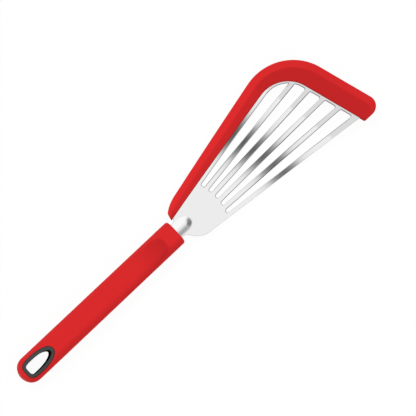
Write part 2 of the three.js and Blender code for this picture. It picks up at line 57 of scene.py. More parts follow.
# Handle
HANDLE_LENGTH = 157.6
HANDLE_BUTT_WIDTH = 20.8
HANDLE_FRONT_WIDTH = 20.3
HANDLE_THICKNESS = 15
HANDLE_EDGE_RADIUS = 6
HANDLE_FRONT_ROUND = 1.5
HANDLE_BUTT_ROUND = 3
HANDLE_BUTT_POWER = 2.3
HANDLE_MIDDLE_Z = HANDLE_THICKNESS / 2
GRIP_WALL = 2.6
GRIP_FRONT_WALL = 4
CORE_REAR_WALL = 3

# Thumb dip, the caps of two half ellipsoids: a short one in front of the deepest place, a long one behind it
DIP_SETBACK = 44
DIP_FRONT_LENGTH = 32.2
DIP_REAR_LENGTH = 62
DIP_WIDTH = 29
DIP_DEPTH = 3
DIP_BALL_HEIGHT = 60
DIP_BLEND = 0.12
# Its painted shade: darker towards the front, inside a blunt outline, and darker towards the right
DIP_SHADE_POWER = 1.45
DIP_SHADE_WIDTH = 17.5
DIP_SHADE_BLUNTNESS = 4
DIP_SHADE_EDGE = 0.12
DIP_LIP_SHADE_LEVEL = 0.755
DIP_SIDES = (-8, -3.5, 6)
DIP_SIDE_SHADE_LEVELS = (0.79, 0.98, 1.02)
# Painted shade on the rest of the grip's top, from its right side to its left
GRIP_SIDES = (-9.3, -8, -6, -4, 4, 6.5, 9)
GRIP_SIDE_SHADE_LEVELS = (0.98, 0.925, 0.93, 1, 1, 0.95, 0.93)

# Liner of the hanging hole, an egg made of two half superellipses that meet where it is widest
RING_SETBACK = 3.2
RING_LENGTH = 27.5
RING_WIDTH = 14.2
RING_REAR_LENGTH = 9.8
RING_REAR_POWER = 3.2
RING_FRONT_POWER = 2.2
RING_WALL = 2.7
RING_RIM_ROUND = 0.35
RING_SEAM_ROUND = 0.15
RING_FLANGE_WIDTH = 1
RING_FLANGE_HEIGHT = 3
# Its bore is painted black as shade, and on the right side that painted shade fades out over this width of its
# face
RING_SHADE_RIM = 0.75

# Outline of the head
HEAD_LENGTH = 175.6
END_CUT_Y = -36.35
TIP_RADIUS = 8.1
FRONT_SKEW = math.radians(16.7)
CORNER_RADIUS = 39.8
LEFT_EDGE_SLOPE = math.tan(math.radians(13.24))
SHOULDER = complex(18.9, 20.15)

# Soft edge
FRONT_BAND = 17.6
SIDE_BAND_OFFSET = 1.6
BAND_CORNER_RADIUS = 24.5
LIP_HALF_THICKNESS = 1.9
LIP_EDGE_ROUND = 0.6
LIP_INNER_ROUND = 0.4
BEVEL_WIDTH = 5.8
BEVEL_SHARE = 0.5
CREASE_RADIUS = 6
CREASE_SHARE = 0.25
LIP_OVERHANG = 3.5
NOSE = complex(5.4, 13.8)
NOSE_INNER_X = 4.3
NOSE_INNER_DROP = 0.5
NOSE_BULGE = 9
END_CORNER = 0.6
TIP_INNER_SHARE = 0.7

# Painted light and shade of the soft edge where it faces right, where it faces front, where it faces left, and
# where it
# faces left and a little back: on its flat, on its bevel, and as a share of the flat's tone along its inner
# line
EDGE_FACINGS = (-math.pi / 2, FRONT_SKEW, math.pi / 2, math.pi / 2 + math.atan(LEFT_EDGE_SLOPE))
EDGE_FLAT_SHADE_LEVELS = (0.78, 0.78, 0.78, 0.886)
EDGE_BEVEL_LIGHT_AND_SHADE_LEVELS = (0.73, 0.95, 1.0, 1.024)
EDGE_INNER_SHADE_LEVELS = (0.75, 0.85, 0.8, 0.72)
LIP_INNER_SHADE = 1.2

# Steel sheet, its neck, its tang and the rib pressed up out of the neck
SHEET = 1.2
SHEET_BEVEL = 0.15
SLOT_BEVEL = 0.65
SLOT_BEVEL_LEFT = 0.4
BEVEL_STATIONS = (1, 0.8, 0.1, 0)
BEVEL_TILT = math.radians(40)
NECK_WIDTH = 12.9
NECK_LENGTH = 4.4
NECK_FILLET = 2.5
HEEL_FLARE = math.tan(math.radians(50.2))
HEEL_RADIUS = 15
RIGHT_EDGE_SLOPE = math.tan(math.radians(-6.02))
RIGHT_EDGE = complex(18.1, -17.15)
TANG_LENGTH = 76
TANG_END_RADIUS = 4
RIB_WIDTH = 12
RIB_HEIGHT = 3.4
RIB_END_X = 17
RIB_LENGTH = 29
RIB_TIP_LENGTH = 8.5

# Fan of bars and slots. The slots start on an arc, and the first bar lies partly under the soft edge.
FAN_APEX = complex(-72.7, -7.5)
FAN_FIRST_SLOPE = 0.1906
FAN_SLOPE_STEP = 0.057
BAR_WIDTH = 3.8
FIRST_BAR_MARGIN = 1.3
SLOT_COUNT = 5
SLOT_START_CENTRE = complex(-1.3, -1.85)
SLOT_START_RADIUS = 42.2
SLOT_END_RADIUS = 1.6
SLOT_CORNER_RADIUS = 1.3
FRONT_RIM = 1.7
RIM_CORNER_RADIUS = 20

# Bend of the sheet, seen from the side. It runs askew and comes sooner on the left.
BEND_SKEW = math.tan(math.radians(10))
NECK_BEND_SETBACK = 14.4
NECK_BEND_RADIUS = 40
BELLY_START = 32.4
BELLY_RADIUS = 420
FRONT_FLAT = 33

# Gap between pieces that are moulded together, and the reach of the cutters past the handle
SEAM = 0.3
TALL = 40

# Fineness of the meshes
ARC_STEP = math.radians(7)
EDGE_SPACING = 2
SHEET_SPACING = 2.5
RIB_SPACING = 0.5
RING_STEPS = 96
SLOPE_STEP = 0.01
SAME_PLACE = 0.01
ROUND_STEPS = 3
CREASE_STEPS = 6
BAND_SPACING = 1.5
BAR_CORNER_STEPS = 10
BAR_TOP_STEPS = 24
BAR_SIDE_STEPS = 3
NECK_POCKET_STEPS = 96
BUTT_STEPS = 24
HANDLE_SPACING = 1.25
SHARP_ANGLE = math.radians(40)


# Plan geometry

def cross(one, other):
    return (one.conjugate() * other).imag


def unit(direction):
    return direction / abs(direction)


def line_through(start, slope):
    return start, unit(complex(1, slope))


def shifted(line, distance):
    """The line moved to its left."""
    start, along = line
    return start + 1j * along * distance, along


def meeting(one, other):
    (start, along), (far_start, far_along) = one, other
    return start + along * cross(far_start - start, far_along) / cross(along, far_along)


def between(start, end, steps):
    return start + (end - start) * np.linspace(0, 1, steps + 1)


def fillet(before, at, after, radius):
    """Start, end and centre of the rounding of a corner, with a radius that fits the sides next to it."""
    back, ahead = before - at, after - at
    room = min(abs(back), abs(ahead)) / 2
    half = abs(cmath.phase(ahead / back)) / 2
    reach = min(radius / math.tan(half), room)
    centre = at + unit(unit(back) + unit(ahead)) * reach / math.cos(half)
    return at + unit(back) * reach, at + unit(ahead) * reach, centre


def arc_points(start, end, centre, steps=None):
    """Points on the arc from start to end, the short way round."""
    sweep = cmath.phase((end - centre) / (start - centre))
    steps = steps or max(2, math.ceil(abs(sweep) / ARC_STEP))
    return centre + (start - centre) * np.exp(1j * sweep * np.linspace(0, 1, steps + 1))


def rounded(corners):
    """A closed outline through (point, radius) corners, with points no more than EDGE_SPACING apart."""
    path = []
    for i, (at, radius) in enumerate(corners):
        before, _ = corners[i - 1]
        after, _ = corners[(i + 1) % len(corners)]
        if radius > 0:
            path.extend(arc_points(*fillet(before, at, after, radius)))
        else:
            path.append(at)
    points = []
    for here, there in zip(path, path[1:] + path[:1]):
        length = abs(there - here)
        if length > SAME_PLACE:
            points.extend(between(here, there, math.ceil(length / EDGE_SPACING))[:-1])
    return np.array(points)


def outward(loop):
    """Directions square to a counter-clockwise outline, long enough to move its sides by one millimetre."""
    ahead = np.roll(loop, -1) - loop
    ahead = ahead / abs(ahead)
    mean = ahead + np.roll(ahead, 1)
    mean = mean / abs(mean)
    return -1j * mean / (mean.conjugate() * ahead).real


# Side view of the sheet: level in the handle, dipping through the neck and heel, bent up again by the belly

HEEL_RUN = BELLY_START + NECK_BEND_SETBACK
BELLY_DROP = HANDLE_MIDDLE_Z - LIP_HALF_THICKNESS
BEND_SUM = BELLY_RADIUS + NECK_BEND_RADIUS
HEEL_DIP = (math.sqrt(HEEL_RUN ** 2 + 2 * BEND_SUM * BELLY_DROP) - HEEL_RUN) / BEND_SUM
NECK_BEND_X = -NECK_BEND_SETBACK - NECK_BEND_RADIUS * math.sin(HEEL_DIP)
BELLY_X = BELLY_START + BELLY_RADIUS * math.sin(HEEL_DIP)
BELLY_END = HEAD_LENGTH - FRONT_FLAT
TIP_RISE = math.asin((BELLY_END - BELLY_X) / BELLY_RADIUS)


def profile_height(x):
    """Height of the middle of the sheet in the side view."""
    neck_bottom = HANDLE_MIDDLE_Z - NECK_BEND_RADIUS * (1 - math.cos(HEEL_DIP))
    belly_top = neck_bottom - HEEL_RUN * math.tan(HEEL_DIP)
    belly_centre = belly_top + BELLY_RADIUS * math.cos(HEEL_DIP)
    neck_arc = np.clip(x - NECK_BEND_X, 0, NECK_BEND_RADIUS)
    belly_arc = np.clip(x - BELLY_X, BELLY_START - BELLY_X, BELLY_END - BELLY_X)
    neck = HANDLE_MIDDLE_Z - NECK_BEND_RADIUS + np.sqrt(NECK_BEND_RADIUS ** 2 - neck_arc ** 2)
    heel = neck_bottom - (x + NECK_BEND_SETBACK) * math.tan(HEEL_DIP)
    belly = belly_centre - np.sqrt(BELLY_RADIUS ** 2 - belly_arc ** 2)
    front = belly + (x - BELLY_END) * math.tan(TIP_RISE)
    return np.select([x < -NECK_BEND_SETBACK, x < BELLY_START, x < BELLY_END], [neck, heel, belly], front)


def blended_max(one, other, blend):
    """The larger of two heights, with the edge between them softened."""
    near = np.clip(blend - abs(one - other), 0, None)
    return np.maximum(one, other) + near ** 2 / (4 * blend)


def sheet_height(plan):
    """Height of the middle of the sheet over points of the plan, leaving out the rib."""
    return profile_height(plan.real + BEND_SKEW * plan.imag)


def pressed_height(plan):
    """Height of the middle of the sheet with the rib pressed up out of it."""
    half_width = RIB_WIDTH / 2
    into_tip = np.clip(plan.real - RIB_END_X + RIB_TIP_LENGTH, 0, None) / RIB_TIP_LENGTH
    into_rear = np.clip(RIB_END_X - RIB_LENGTH + half_width - plan.real, 0, None) / half_width
    share = np.clip(np.hypot(into_tip + into_rear, plan.imag / half_width), 0, 1)
    return sheet_height(plan) + RIB_HEIGHT * (1 - share ** 2) ** 2


def sheet_top(plan):
    return pressed_height(plan) + SHEET / 2


def sheet_bottom(plan):
    return pressed_height(plan) - SHEET / 2


def upward_normals(height, plan):
    """Unit normals, facing up, of the surface of a height over the plan."""
    along = (height(plan + SLOPE_STEP) - height(plan - SLOPE_STEP)) / (2 * SLOPE_STEP)
    aside = (height(plan + SLOPE_STEP * 1j) - height(plan - SLOPE_STEP * 1j)) / (2 * SLOPE_STEP)
    normals = np.stack([-along, -aside, np.ones(len(plan))], axis=1)
    return normals / np.linalg.norm(normals, axis=1, keepdims=True)


def lifted(plan, height):
    return np.stack([plan.real, plan.imag, height], axis=1)


# Edge lines of the head

tip_centre = complex(HEAD_LENGTH - TIP_RADIUS, END_CUT_Y + TIP_RADIUS)
front_normal = cmath.rect(1, FRONT_SKEW)
front_line = (tip_centre + TIP_RADIUS * front_normal, 1j * front_normal)
left_line = line_through(SHOULDER, LEFT_EDGE_SLOPE)
right_line = line_through(RIGHT_EDGE, RIGHT_EDGE_SLOPE)
end_line = (complex(0, END_CUT_Y), 1 + 0j)
right_flare = line_through(complex(NECK_LENGTH, -NECK_WIDTH / 2), -HEEL_FLARE)
left_flare = line_through(complex(NECK_LENGTH, NECK_WIDTH / 2), HEEL_FLARE)
steel_left = shifted(left_line, -LIP_OVERHANG)
steel_front = shifted(front_line, LIP_OVERHANG)


def bar_line(i):
    return line_through(FAN_APEX, FAN_FIRST_SLOPE - i * FAN_SLOPE_STEP)


band_side_line = shifted(bar_line(0), SIDE_BAND_OFFSET)
band_front_line = shifted(front_line, FRONT_BAND)


# Meshes

class Skin:
    """Rows of points and the faces between them."""

    def __init__(self):
        self.points = []
        self.faces = []

    def row(self, points):
        start = len(self.points)
        self.points.extend(points)
        return range(start, len(self.points))

    def strip(self, one, other):
        for i in range(len(one)):
            after = (i + 1) % len(one)
            self.faces.append((one[i], one[after], other[after], other[i]))

    def cap(self, row):
        self.faces.append(tuple(row))


def loft(rings, closed=False):
    """A skin through rings of points, either capped at both ends or closed on itself."""
    skin = Skin()
    rows = [skin.row(ring) for ring in rings]
    for one, other in zip(rows, rows[1:]):
        skin.strip(one, other)
    if closed:
        skin.strip(rows[-1], rows[0])
    else:
        skin.cap(rows[0])
        skin.cap(rows[-1])
    return skin


def make_object(name, skin):
    """A mesh object with its faces turned outwards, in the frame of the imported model."""
    mesh = bpy.data.meshes.new(name)
    mesh.from_pydata((np.array(skin.points) * MM + FRAME_ORIGIN).tolist(), [], skin.faces)
    build = bmesh.new()
    build.from_mesh(mesh)
    bmesh.ops.recalc_face_normals(build, faces=build.faces)
    build.to_mesh(mesh)
    build.free()
    mesh.shade_smooth()
    made = bpy.data.objects.new(name, mesh)
    bpy.context.scene.collection.objects.link(made)
    return made


def cut(piece, cutters):
    """Cuts the cutters out of the piece and removes them."""
    for cutter in cutters:
        modifier = piece.modifiers.new(cutter.name, "BOOLEAN")
        modifier.operation = "DIFFERENCE"
        modifier.solver = "EXACT"
        modifier.object = cutter
    depsgraph = bpy.context.evaluated_depsgraph_get()
    result = bpy.data.meshes.new_from_object(piece.evaluated_get(depsgraph))
    piece.modifiers.clear()
    piece.data = result
    for cutter in cutters:
        bpy.data.objects.remove(cutter)


def paint(piece, name, values):
    """Keeps a value at each vertex for the material of the piece."""
    piece.data.attributes.new(name, "FLOAT", "POINT").data.foreach_set("value", values)


def finish_piece(piece, node, material):
    """Gives the piece its material and sets it in the place of a CAD node."""
    piece.data.materials.clear()
    piece.data.materials.append(material)
    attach(piece, "root")
    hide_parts(node)


# Blade

def blade_outline():
    half_neck = NECK_WIDTH / 2
    return rounded([
        (complex(-TANG_LENGTH, half_neck), TANG_END_RADIUS),
        (complex(-TANG_LENGTH, -half_neck), TANG_END_RADIUS),
        (right_flare[0], NECK_FILLET),
        (meeting(right_flare, right_line), HEEL_RADIUS),
        (meeting(right_line, steel_front), TIP_RADIUS - LIP_OVERHANG),
        (meeting(steel_front, steel_left), CORNER_RADIUS - LIP_OVERHANG),
        (meeting(left_flare, steel_left), HEEL_RADIUS),
        (left_flare[0], NECK_FILLET),
    ])


def right_edge(i):
    """The edge of a bar that faces the slot on its right."""
    return shifted(bar_line(i), -BAR_WIDTH / 2 if i > 0 else -FIRST_BAR_MARGIN)


def slot_start(line):
    """Where a line from the fan's apex meets the arc on which the slots start."""
    start, along = line
    gap = (start - SLOT_START_CENTRE) / along
    return start + along * (math.sqrt(SLOT_START_RADIUS ** 2 - gap.imag ** 2) - gap.real)


def rim_line():
    """The line that the front ends of the slots keep to: round the corner and along the front."""
    side = right_edge(0)
    front = shifted(band_front_line, FRONT_RIM)
    far = meeting(front, end_line)
    turn = fillet(side[0], meeting(side, front), far, RIM_CORNER_RADIUS)
    return [*arc_points(*turn), far]


def crossing(line, row):
    """Where a line crosses a row of points: the place, and the number of the point after it."""
    sides = [cross(line[1], at - line[0]) for at in row]
    after = next(i for i in range(1, len(row)) if sides[i - 1] > 0 >= sides[i])
    return meeting(line, (row[after - 1], row[after] - row[after - 1])), after


def slot_outline(i, rim):
    upper = right_edge(i)
    lower = shifted(bar_line(i + 1), BAR_WIDTH / 2)
    low, low_after = crossing(lower, rim)
    corners = [(slot_start(line), SLOT_END_RADIUS) for line in (upper, lower)]
    corners.append((low, SLOT_CORNER_RADIUS))
    if i == 0:
        corners.extend((at, 0) for at in rim[low_after - 1::-1])
    else:
        high, high_after = crossing(upper, rim)
        corners.extend((at, 0) for at in rim[high_after:low_after][::-1])
        corners.append((high, SLOT_CORNER_RADIUS))
    return rounded(corners)


def inside(points, loop):
    """Which points lie inside a closed outline."""
    ahead = np.roll(loop, -1)
    low, high = loop[None, :], ahead[None, :]
    at = points[:, None]
    spans = (low.imag > at.imag) != (high.imag > at.imag)
    rise = np.where(low.imag == high.imag, 1, high.imag - low.imag)
    crossing_x = low.real + (at.imag - low.imag) / rise * (high.real - low.real)
    return np.sum(spans & (at.real < crossing_x), axis=1) % 2 == 1


def grid(low, high, spacing):
    across = np.arange(low.real, high.real, spacing)
    up = np.arange(low.imag, high.imag, spacing)
    return (across[:, None] + 1j * up[None, :]).ravel()


def inner_points(outer, holes):
    """Points spread over the sheet away from its edges, close together on the rib."""
    low = complex(outer.real.min(), outer.imag.min())
    high = complex(outer.real.max(), outer.imag.max())
    rib_half = RIB_WIDTH / 2
    rib_low = complex(RIB_END_X - RIB_LENGTH, -rib_half)
    rib_high = complex(RIB_END_X, rib_half)
    coarse = grid(low, high, SHEET_SPACING)
    on_rib = (coarse.real > rib_low.real) & (coarse.real < rib_high.real) & (abs(coarse.imag) < rib_half)
    fine = grid(rib_low, rib_high, RIB_SPACING)
    kept = []
    for points, spacing in ((coarse[~on_rib], SHEET_SPACING), (fine, RIB_SPACING)):
        keep = inside(points, outer)
        for hole in holes:
            keep &= ~inside(points, hole)
        for loop in (outer, *holes):
            keep &= abs(points[:, None] - loop[None, :]).min(axis=1) > spacing / 2
        kept.append(points[keep])
    return np.concatenate(kept)


def lies_on_sheet(plan, triangles, loops):
    """Which triangles lie inside the outline, the first of the loops, and outside the slots.

    One with all its corners on the same loop is told by the way it turns, as its middle may lie on that loop.
    """
    outer, *holes = (plan[loop] for loop in loops)
    middles = plan[triangles].mean(axis=1)
    kept = inside(middles, outer)
    for hole in holes:
        kept &= ~inside(middles, hole)
    for number, loop in enumerate(loops):
        step_at = np.full(len(plan), -1)
        step_at[loop] = range(len(loop))
        steps = step_at[triangles]
        on_loop = (steps >= 0).all(axis=1)
        in_order = np.take_along_axis(triangles, steps.argsort(axis=1), axis=1)
        first, second, third = plan[in_order].T
        turns_left = cross(second - first, third - first) > 0
        kept = np.where(on_loop, turns_left == (number == 0), kept)
    return kept


def edge_rows():
    """Inset, drop and tilt of the rows from the sheet's flat to its wall, for a bevel of one millimetre."""
    insets = np.array(BEVEL_STATIONS)
    tilts = np.array((0, BEVEL_TILT, BEVEL_TILT, math.pi / 2))
    drops = np.cumsum((insets[:-1] - insets[1:]) * np.tan((tilts[:-1] + tilts[1:]) / 2))
    return list(zip(insets[1:], drops, tilts[1:]))


def spanned(loops):
    """The flat of the sheet: its places, the triangles between them, and the places along each loop."""
    outer, *holes = loops
    plan = np.concatenate([*loops, inner_points(outer, holes)])
    edges = []
    rows = []
    for loop in loops:
        start = rows[-1].stop if rows else 0
        rows.append(range(start, start + len(loop)))
        edges.extend(zip(rows[-1], [*rows[-1][1:], start]))
    flat = [Vector((at.real, at.imag)) for at in plan]
    whole_hull = 0
    placed, _, triangles, origins, _, _ = delaunay_2d_cdt(flat, edges, [], whole_hull, SAME_PLACE)
    place_of = {origin: i for i, sources in enumerate(origins) for origin in sources}
    plan = np.array([complex(*at) for at in placed])
    rows = [[place_of[i] for i in row] for row in rows]
    triangles = np.array(triangles)
    return plan, triangles[lies_on_sheet(plan, triangles, rows)], rows


def make_blade(material):
    outer = blade_outline()
    rim = rim_line()
    holes = [slot_outline(i, rim) for i in range(SLOT_COUNT)]
    loops = [(outer, outward(outer), np.full(len(outer), SHEET_BEVEL))]
    for hole in holes:
        out = -outward(hole)
        leftness = np.clip(out.imag / abs(out), 0, 1)
        loops.append((hole, out, SLOT_BEVEL + (SLOT_BEVEL_LEFT - SLOT_BEVEL) * leftness))
    plan, triangles, rows = spanned([loop - bevel * out for loop, out, bevel in loops])
    skin = Skin()
    top_normals = upward_normals(sheet_top, plan)
    bottom_normals = -upward_normals(sheet_bottom, plan)
    top = skin.row(lifted(plan, sheet_top(plan)))
    bottom = skin.row(lifted(plan, sheet_bottom(plan)))
    normals = [*top_normals, *bottom_normals]
    skin.faces.extend(tuple(top[i] for i in face) for face in triangles)
    skin.faces.extend(tuple(bottom[i] for i in reversed(face)) for face in triangles)
    down = edge_rows()
    for (loop, out, bevel), row in zip(loops, rows):
        sideways = lifted(out / abs(out), np.zeros(len(out)))
        chain = [[top[i] for i in row]]
        for side, height, edge in ((1, sheet_top, down), (-1, sheet_bottom, down[::-1])):
            for inset, drop, tilt in edge:
                at = loop - inset * bevel * out
                chain.append(skin.row(lifted(at, height(at) - side * drop * bevel)))
                normals.extend(math.sin(tilt) * sideways + side * math.cos(tilt) * upward_normals(height, at))
        chain.append([bottom[i] for i in row])
        for one, other in zip(chain, chain[1:]):
            skin.strip(one, other)
    piece = make_object("blade_sheet", skin)
    piece.data.normals_split_custom_set_from_vertices([tuple(normal) for normal in normals])
    # Painted shade: the edge bevels are marked as cut, and the material darkens them
    paint(piece, "cut", np.arange(len(normals)) >= 2 * len(plan))
    finish_piece(piece, "blade", material)


# Soft edge

def band_rings():
    """Pairs of points, outside and inside, along the soft edge from its nose to its end cut."""
    outer_corner = meeting(left_line, front_line)
    inner_corner = meeting(band_side_line, band_front_line)
    nose_control = SHOULDER - NOSE_BULGE * left_line[1]
    inner_nose = meeting(band_side_line, (complex(NOSE_INNER_X, 0), 1j)) - 1j * NOSE_INNER_DROP
    inner_shoulder = meeting(band_side_line, (SHOULDER, 1j * left_line[1])) - 1j * NOSE_INNER_DROP / 2
    inner_tip = meeting(band_front_line, (tip_centre, front_normal))
    inner_end = meeting(band_front_line, shifted(end_line, END_CORNER))
    outer_end = meeting(band_front_line, end_line) + END_CORNER
    inner_tip_bottom = inner_tip + (inner_end - inner_tip) * TIP_INNER_SHARE
    tip_bottom = complex(tip_centre.real, END_CUT_Y)
    outer_turn = fillet(SHOULDER, outer_corner, front_line[0], CORNER_RADIUS)
    inner_turn = fillet(inner_nose, inner_corner, inner_end, BAND_CORNER_RADIUS)

    def steps_for(start, end):
        return math.ceil(abs(end - start) / BAND_SPACING)

    nose_steps = steps_for(NOSE, SHOULDER)
    share = np.linspace(0, 1, nose_steps + 1)
    nose_curve = (1 - share) ** 2 * NOSE + 2 * share * (1 - share) * nose_control + share ** 2 * SHOULDER
    side_steps = steps_for(SHOULDER, outer_turn[0])
    corner_steps = steps_for(outer_turn[0], outer_turn[1])
    front_steps = steps_for(outer_turn[1], front_line[0])
    tip_steps = 2 * steps_for(front_line[0], tip_bottom)
    end_steps = steps_for(tip_bottom, outer_end)
    stretches = [
        (nose_curve, between(inner_nose, inner_shoulder, nose_steps)),
        (between(SHOULDER, outer_turn[0], side_steps), between(inner_shoulder, inner_turn[0], side_steps)),
        (arc_points(*outer_turn, corner_steps), arc_points(*inner_turn, corner_steps)),
        (between(outer_turn[1], front_line[0], front_steps), between(inner_turn[1], inner_tip, front_steps)),
        (arc_points(front_line[0], tip_bottom, tip_centre, tip_steps),
         between(inner_tip, inner_tip_bottom, tip_steps)),
        (between(tip_bottom, outer_end, end_steps), between(inner_tip_bottom, inner_end, end_steps)),
    ]
    pairs = [(stretches[0][0][0], stretches[0][1][0])]
    for outer, inner in stretches:
        pairs.extend(zip(outer[1:], inner[1:]))
    return pairs


def pocket_depth(outer, inner):
    """How far the sheet reaches into the soft edge, from its inside towards its outside."""
    along = unit(outer - inner)
    depth = abs(outer - inner) - LIP_OVERHANG
    for edge in (left_flare, steel_left):
        if cross(edge[1], along) > 0:
            depth = min(depth, cross(edge[0] - inner, edge[1]) / cross(along, edge[1]))
    if cross(right_line[1], along) < 0:
        depth = min(depth, cross(right_line[0] - inner, right_line[1]) / cross(along, right_line[1]))
    return max(depth, 0) + SEAM


def band_section(outer, inner):
    """One cross-section and its painted light and shade: a flat, a bevel down to a round outer edge, and the
    sheet's pocket.
    """
    width = abs(outer - inner)
    bevel = min(BEVEL_WIDTH, width * BEVEL_SHARE)
    edge_round = min(LIP_EDGE_ROUND, bevel / 2)
    inner_round = min(LIP_INNER_ROUND, (width - bevel) / 2)
    slope = math.atan2(LIP_HALF_THICKNESS - edge_round, bevel - edge_round)
    crease = min(CREASE_RADIUS * math.tan(slope / 2), (width - bevel - inner_round) / 2, bevel * CREASE_SHARE)
    crease_radius = crease / math.tan(slope / 2)
    upper = []
    for turn in np.linspace(0, math.pi / 2, ROUND_STEPS + 1):
        across = inner_round * (1 - math.cos(turn))
        upper.append((across, LIP_HALF_THICKNESS - inner_round * (1 - math.sin(turn))))
    shade_end = min(LIP_INNER_SHADE, (inner_round + width - bevel - crease) / 2)
    upper.append((shade_end, LIP_HALF_THICKNESS))
    for turn in np.linspace(0, slope, CREASE_STEPS + 1):
        across = width - bevel - crease + crease_radius * math.sin(turn)
        upper.append((across, LIP_HALF_THICKNESS - crease_radius * (1 - math.cos(turn))))
    for turn in np.linspace(slope, math.pi / 2, 2 * ROUND_STEPS + 1):
        upper.append((width - edge_round * (1 - math.sin(turn)), edge_round * math.cos(turn)))
    lower = [(across, -height) for across, height in reversed(upper[:-1])]
    half_pocket = SHEET / 2 + SEAM
    depth = min(pocket_depth(outer, inner), width - bevel / 2)
    pocket = [(0, -half_pocket), (depth, -half_pocket), (depth, half_pocket), (0, half_pocket)]
    across, heights = np.array(upper + lower + pocket).T
    plan = inner + (outer - inner) * across / width
    on_bevel = np.clip((across - width + bevel + crease) / (2 * crease), 0, 1)
    # Painted light and shade by the way the section faces, with painted shade along its inner line
    facing = cmath.phase(outer - inner)
    sloped = np.interp(facing, EDGE_FACINGS, EDGE_BEVEL_LIGHT_AND_SHADE_LEVELS)
    flat = np.interp(facing, EDGE_FACINGS, EDGE_FLAT_SHADE_LEVELS)
    inner_line = np.interp(facing, EDGE_FACINGS, EDGE_INNER_SHADE_LEVELS)
    flat = flat * np.interp(across, (inner_round, shade_end), (inner_line, 1))
    return lifted(plan, sheet_height(plan) + heights), flat + (sloped - flat) * on_bevel


def make_soft_edge(material):
    rings, levels = zip(*(band_section(outer, inner) for outer, inner in band_rings()))
    piece = make_object("soft_edge", loft(rings))
    # The painted light and shade of the soft edge, kept as level
    paint(piece, "level", np.concatenate(levels))
    piece.data.set_sharp_from_angle(angle=SHARP_ANGLE)
    finish_piece(piece, "silicone_edge", material)


# Handle

def half_width_at(x):
    return np.interp(x, (-HANDLE_LENGTH, 0), (HANDLE_BUTT_WIDTH / 2, HANDLE_FRONT_WIDTH / 2))


def drawn_in_by(radius, depth, power=2):
    """How far a rounding has drawn a face in, at a depth behind its end."""
    short = np.clip(radius - depth, 0, radius)
    return radius - (radius ** power - short ** power) ** (1 / power)


def butt_section(x):
    """Half width and half height of the handle near its butt."""
    depth = x + HANDLE_LENGTH
    half_width = half_width_at(x) - drawn_in_by(HANDLE_BUTT_WIDTH / 2, depth, HANDLE_BUTT_POWER)
    return half_width, HANDLE_THICKNESS / 2 - drawn_in_by(HANDLE_BUTT_ROUND, depth)


def bar_section(x, half_width, half_height, edge_radius):
    """A rounded rectangle across the handle."""
    radius = min(edge_radius, half_width, half_height)
    reach_y, reach_z = half_width - radius, half_height - radius
    centres = [(reach_y, reach_z), (-reach_y, reach_z), (-reach_y, -reach_z), (reach_y, -reach_z)]
    flats = [BAR_TOP_STEPS, BAR_SIDE_STEPS, BAR_TOP_STEPS, BAR_SIDE_STEPS]
    ring = []
    for quarter, (y, z) in enumerate(centres):
        turns = (quarter + np.linspace(0, 1, BAR_CORNER_STEPS + 1)) * math.pi / 2
        ring.extend((y + radius * math.cos(turn), z + radius * math.sin(turn)) for turn in turns)
        start = complex(*ring[-1])
        next_y, next_z = centres[(quarter + 1) % len(centres)]
        end = complex(next_y, next_z) + radius * cmath.rect(1, turns[-1])
        ring.extend((at.real, at.imag) for at in between(start, end, flats[quarter])[1:-1])
    return [(x, y, HANDLE_MIDDLE_Z + z) for y, z in ring]


def dip_floor(x, y, depth):
    """Height of the thumb dip sunk further by a depth, and far above the handle outside the ellipsoid."""
    spread = math.sqrt(1 - (1 - DIP_DEPTH / DIP_BALL_HEIGHT) ** 2)
    ahead = x + DIP_SETBACK
    length = np.where(ahead > 0, DIP_FRONT_LENGTH, DIP_REAR_LENGTH)
    away = (ahead * spread / length) ** 2 + (y * spread * 2 / DIP_WIDTH) ** 2
    centre = HANDLE_THICKNESS + DIP_BALL_HEIGHT - DIP_DEPTH - depth
    return centre - DIP_BALL_HEIGHT * np.sqrt(np.clip(1 - away, 0, None))


def dipped(rings, depth=0):
    """The rings with their upper side pressed down to the thumb dip, and its edge softened."""
    for ring in rings:
        points = np.array(ring)
        floor = dip_floor(points[:, 0], points[:, 1], depth)
        lowered = -blended_max(-points[:, 2], -floor, DIP_BLEND)
        points[:, 2] = np.where(points[:, 2] > HANDLE_MIDDLE_Z, lowered, points[:, 2])
        yield points


def handle_rings():
    for turn in np.linspace(0, math.pi / 2, BUTT_STEPS + 1)[1:]:
        x = HANDLE_BUTT_WIDTH / 2 * (1 - math.cos(turn)) - HANDLE_LENGTH
        yield bar_section(x, *butt_section(x), HANDLE_EDGE_RADIUS)
    start = HANDLE_BUTT_WIDTH / 2 - HANDLE_LENGTH
    steps = math.ceil(-start / HANDLE_SPACING)
    for x in np.linspace(start, -HANDLE_FRONT_ROUND, steps + 1)[1:-1]:
        yield bar_section(x, half_width_at(x), HANDLE_THICKNESS / 2, HANDLE_EDGE_RADIUS)
    for turn in np.linspace(0, math.pi / 2, 2 * ROUND_STEPS + 1):
        x = -HANDLE_FRONT_ROUND * (1 - math.sin(turn))
        inset = HANDLE_FRONT_ROUND * (1 - math.cos(turn))
        radius = HANDLE_EDGE_RADIUS - inset
        yield bar_section(x, half_width_at(x) - inset, HANDLE_THICKNESS / 2 - inset, radius)


def core_pocket():
    """The room for the hard core inside the sleeve."""
    wall = GRIP_WALL - SEAM
    rear = -HANDLE_LENGTH + RING_SETBACK + RING_LENGTH + CORE_REAR_WALL - SEAM
    front = -GRIP_FRONT_WALL + SEAM
    steps = math.ceil((front - rear) / SHEET_SPACING)
    rings = []
    for x in np.linspace(rear, front, steps + 1):
        radius = HANDLE_EDGE_RADIUS - wall
        rings.append(bar_section(x, half_width_at(x) - wall, HANDLE_THICKNESS / 2 - wall, radius))
    return make_object("core_pocket", loft(list(dipped(rings, wall))))


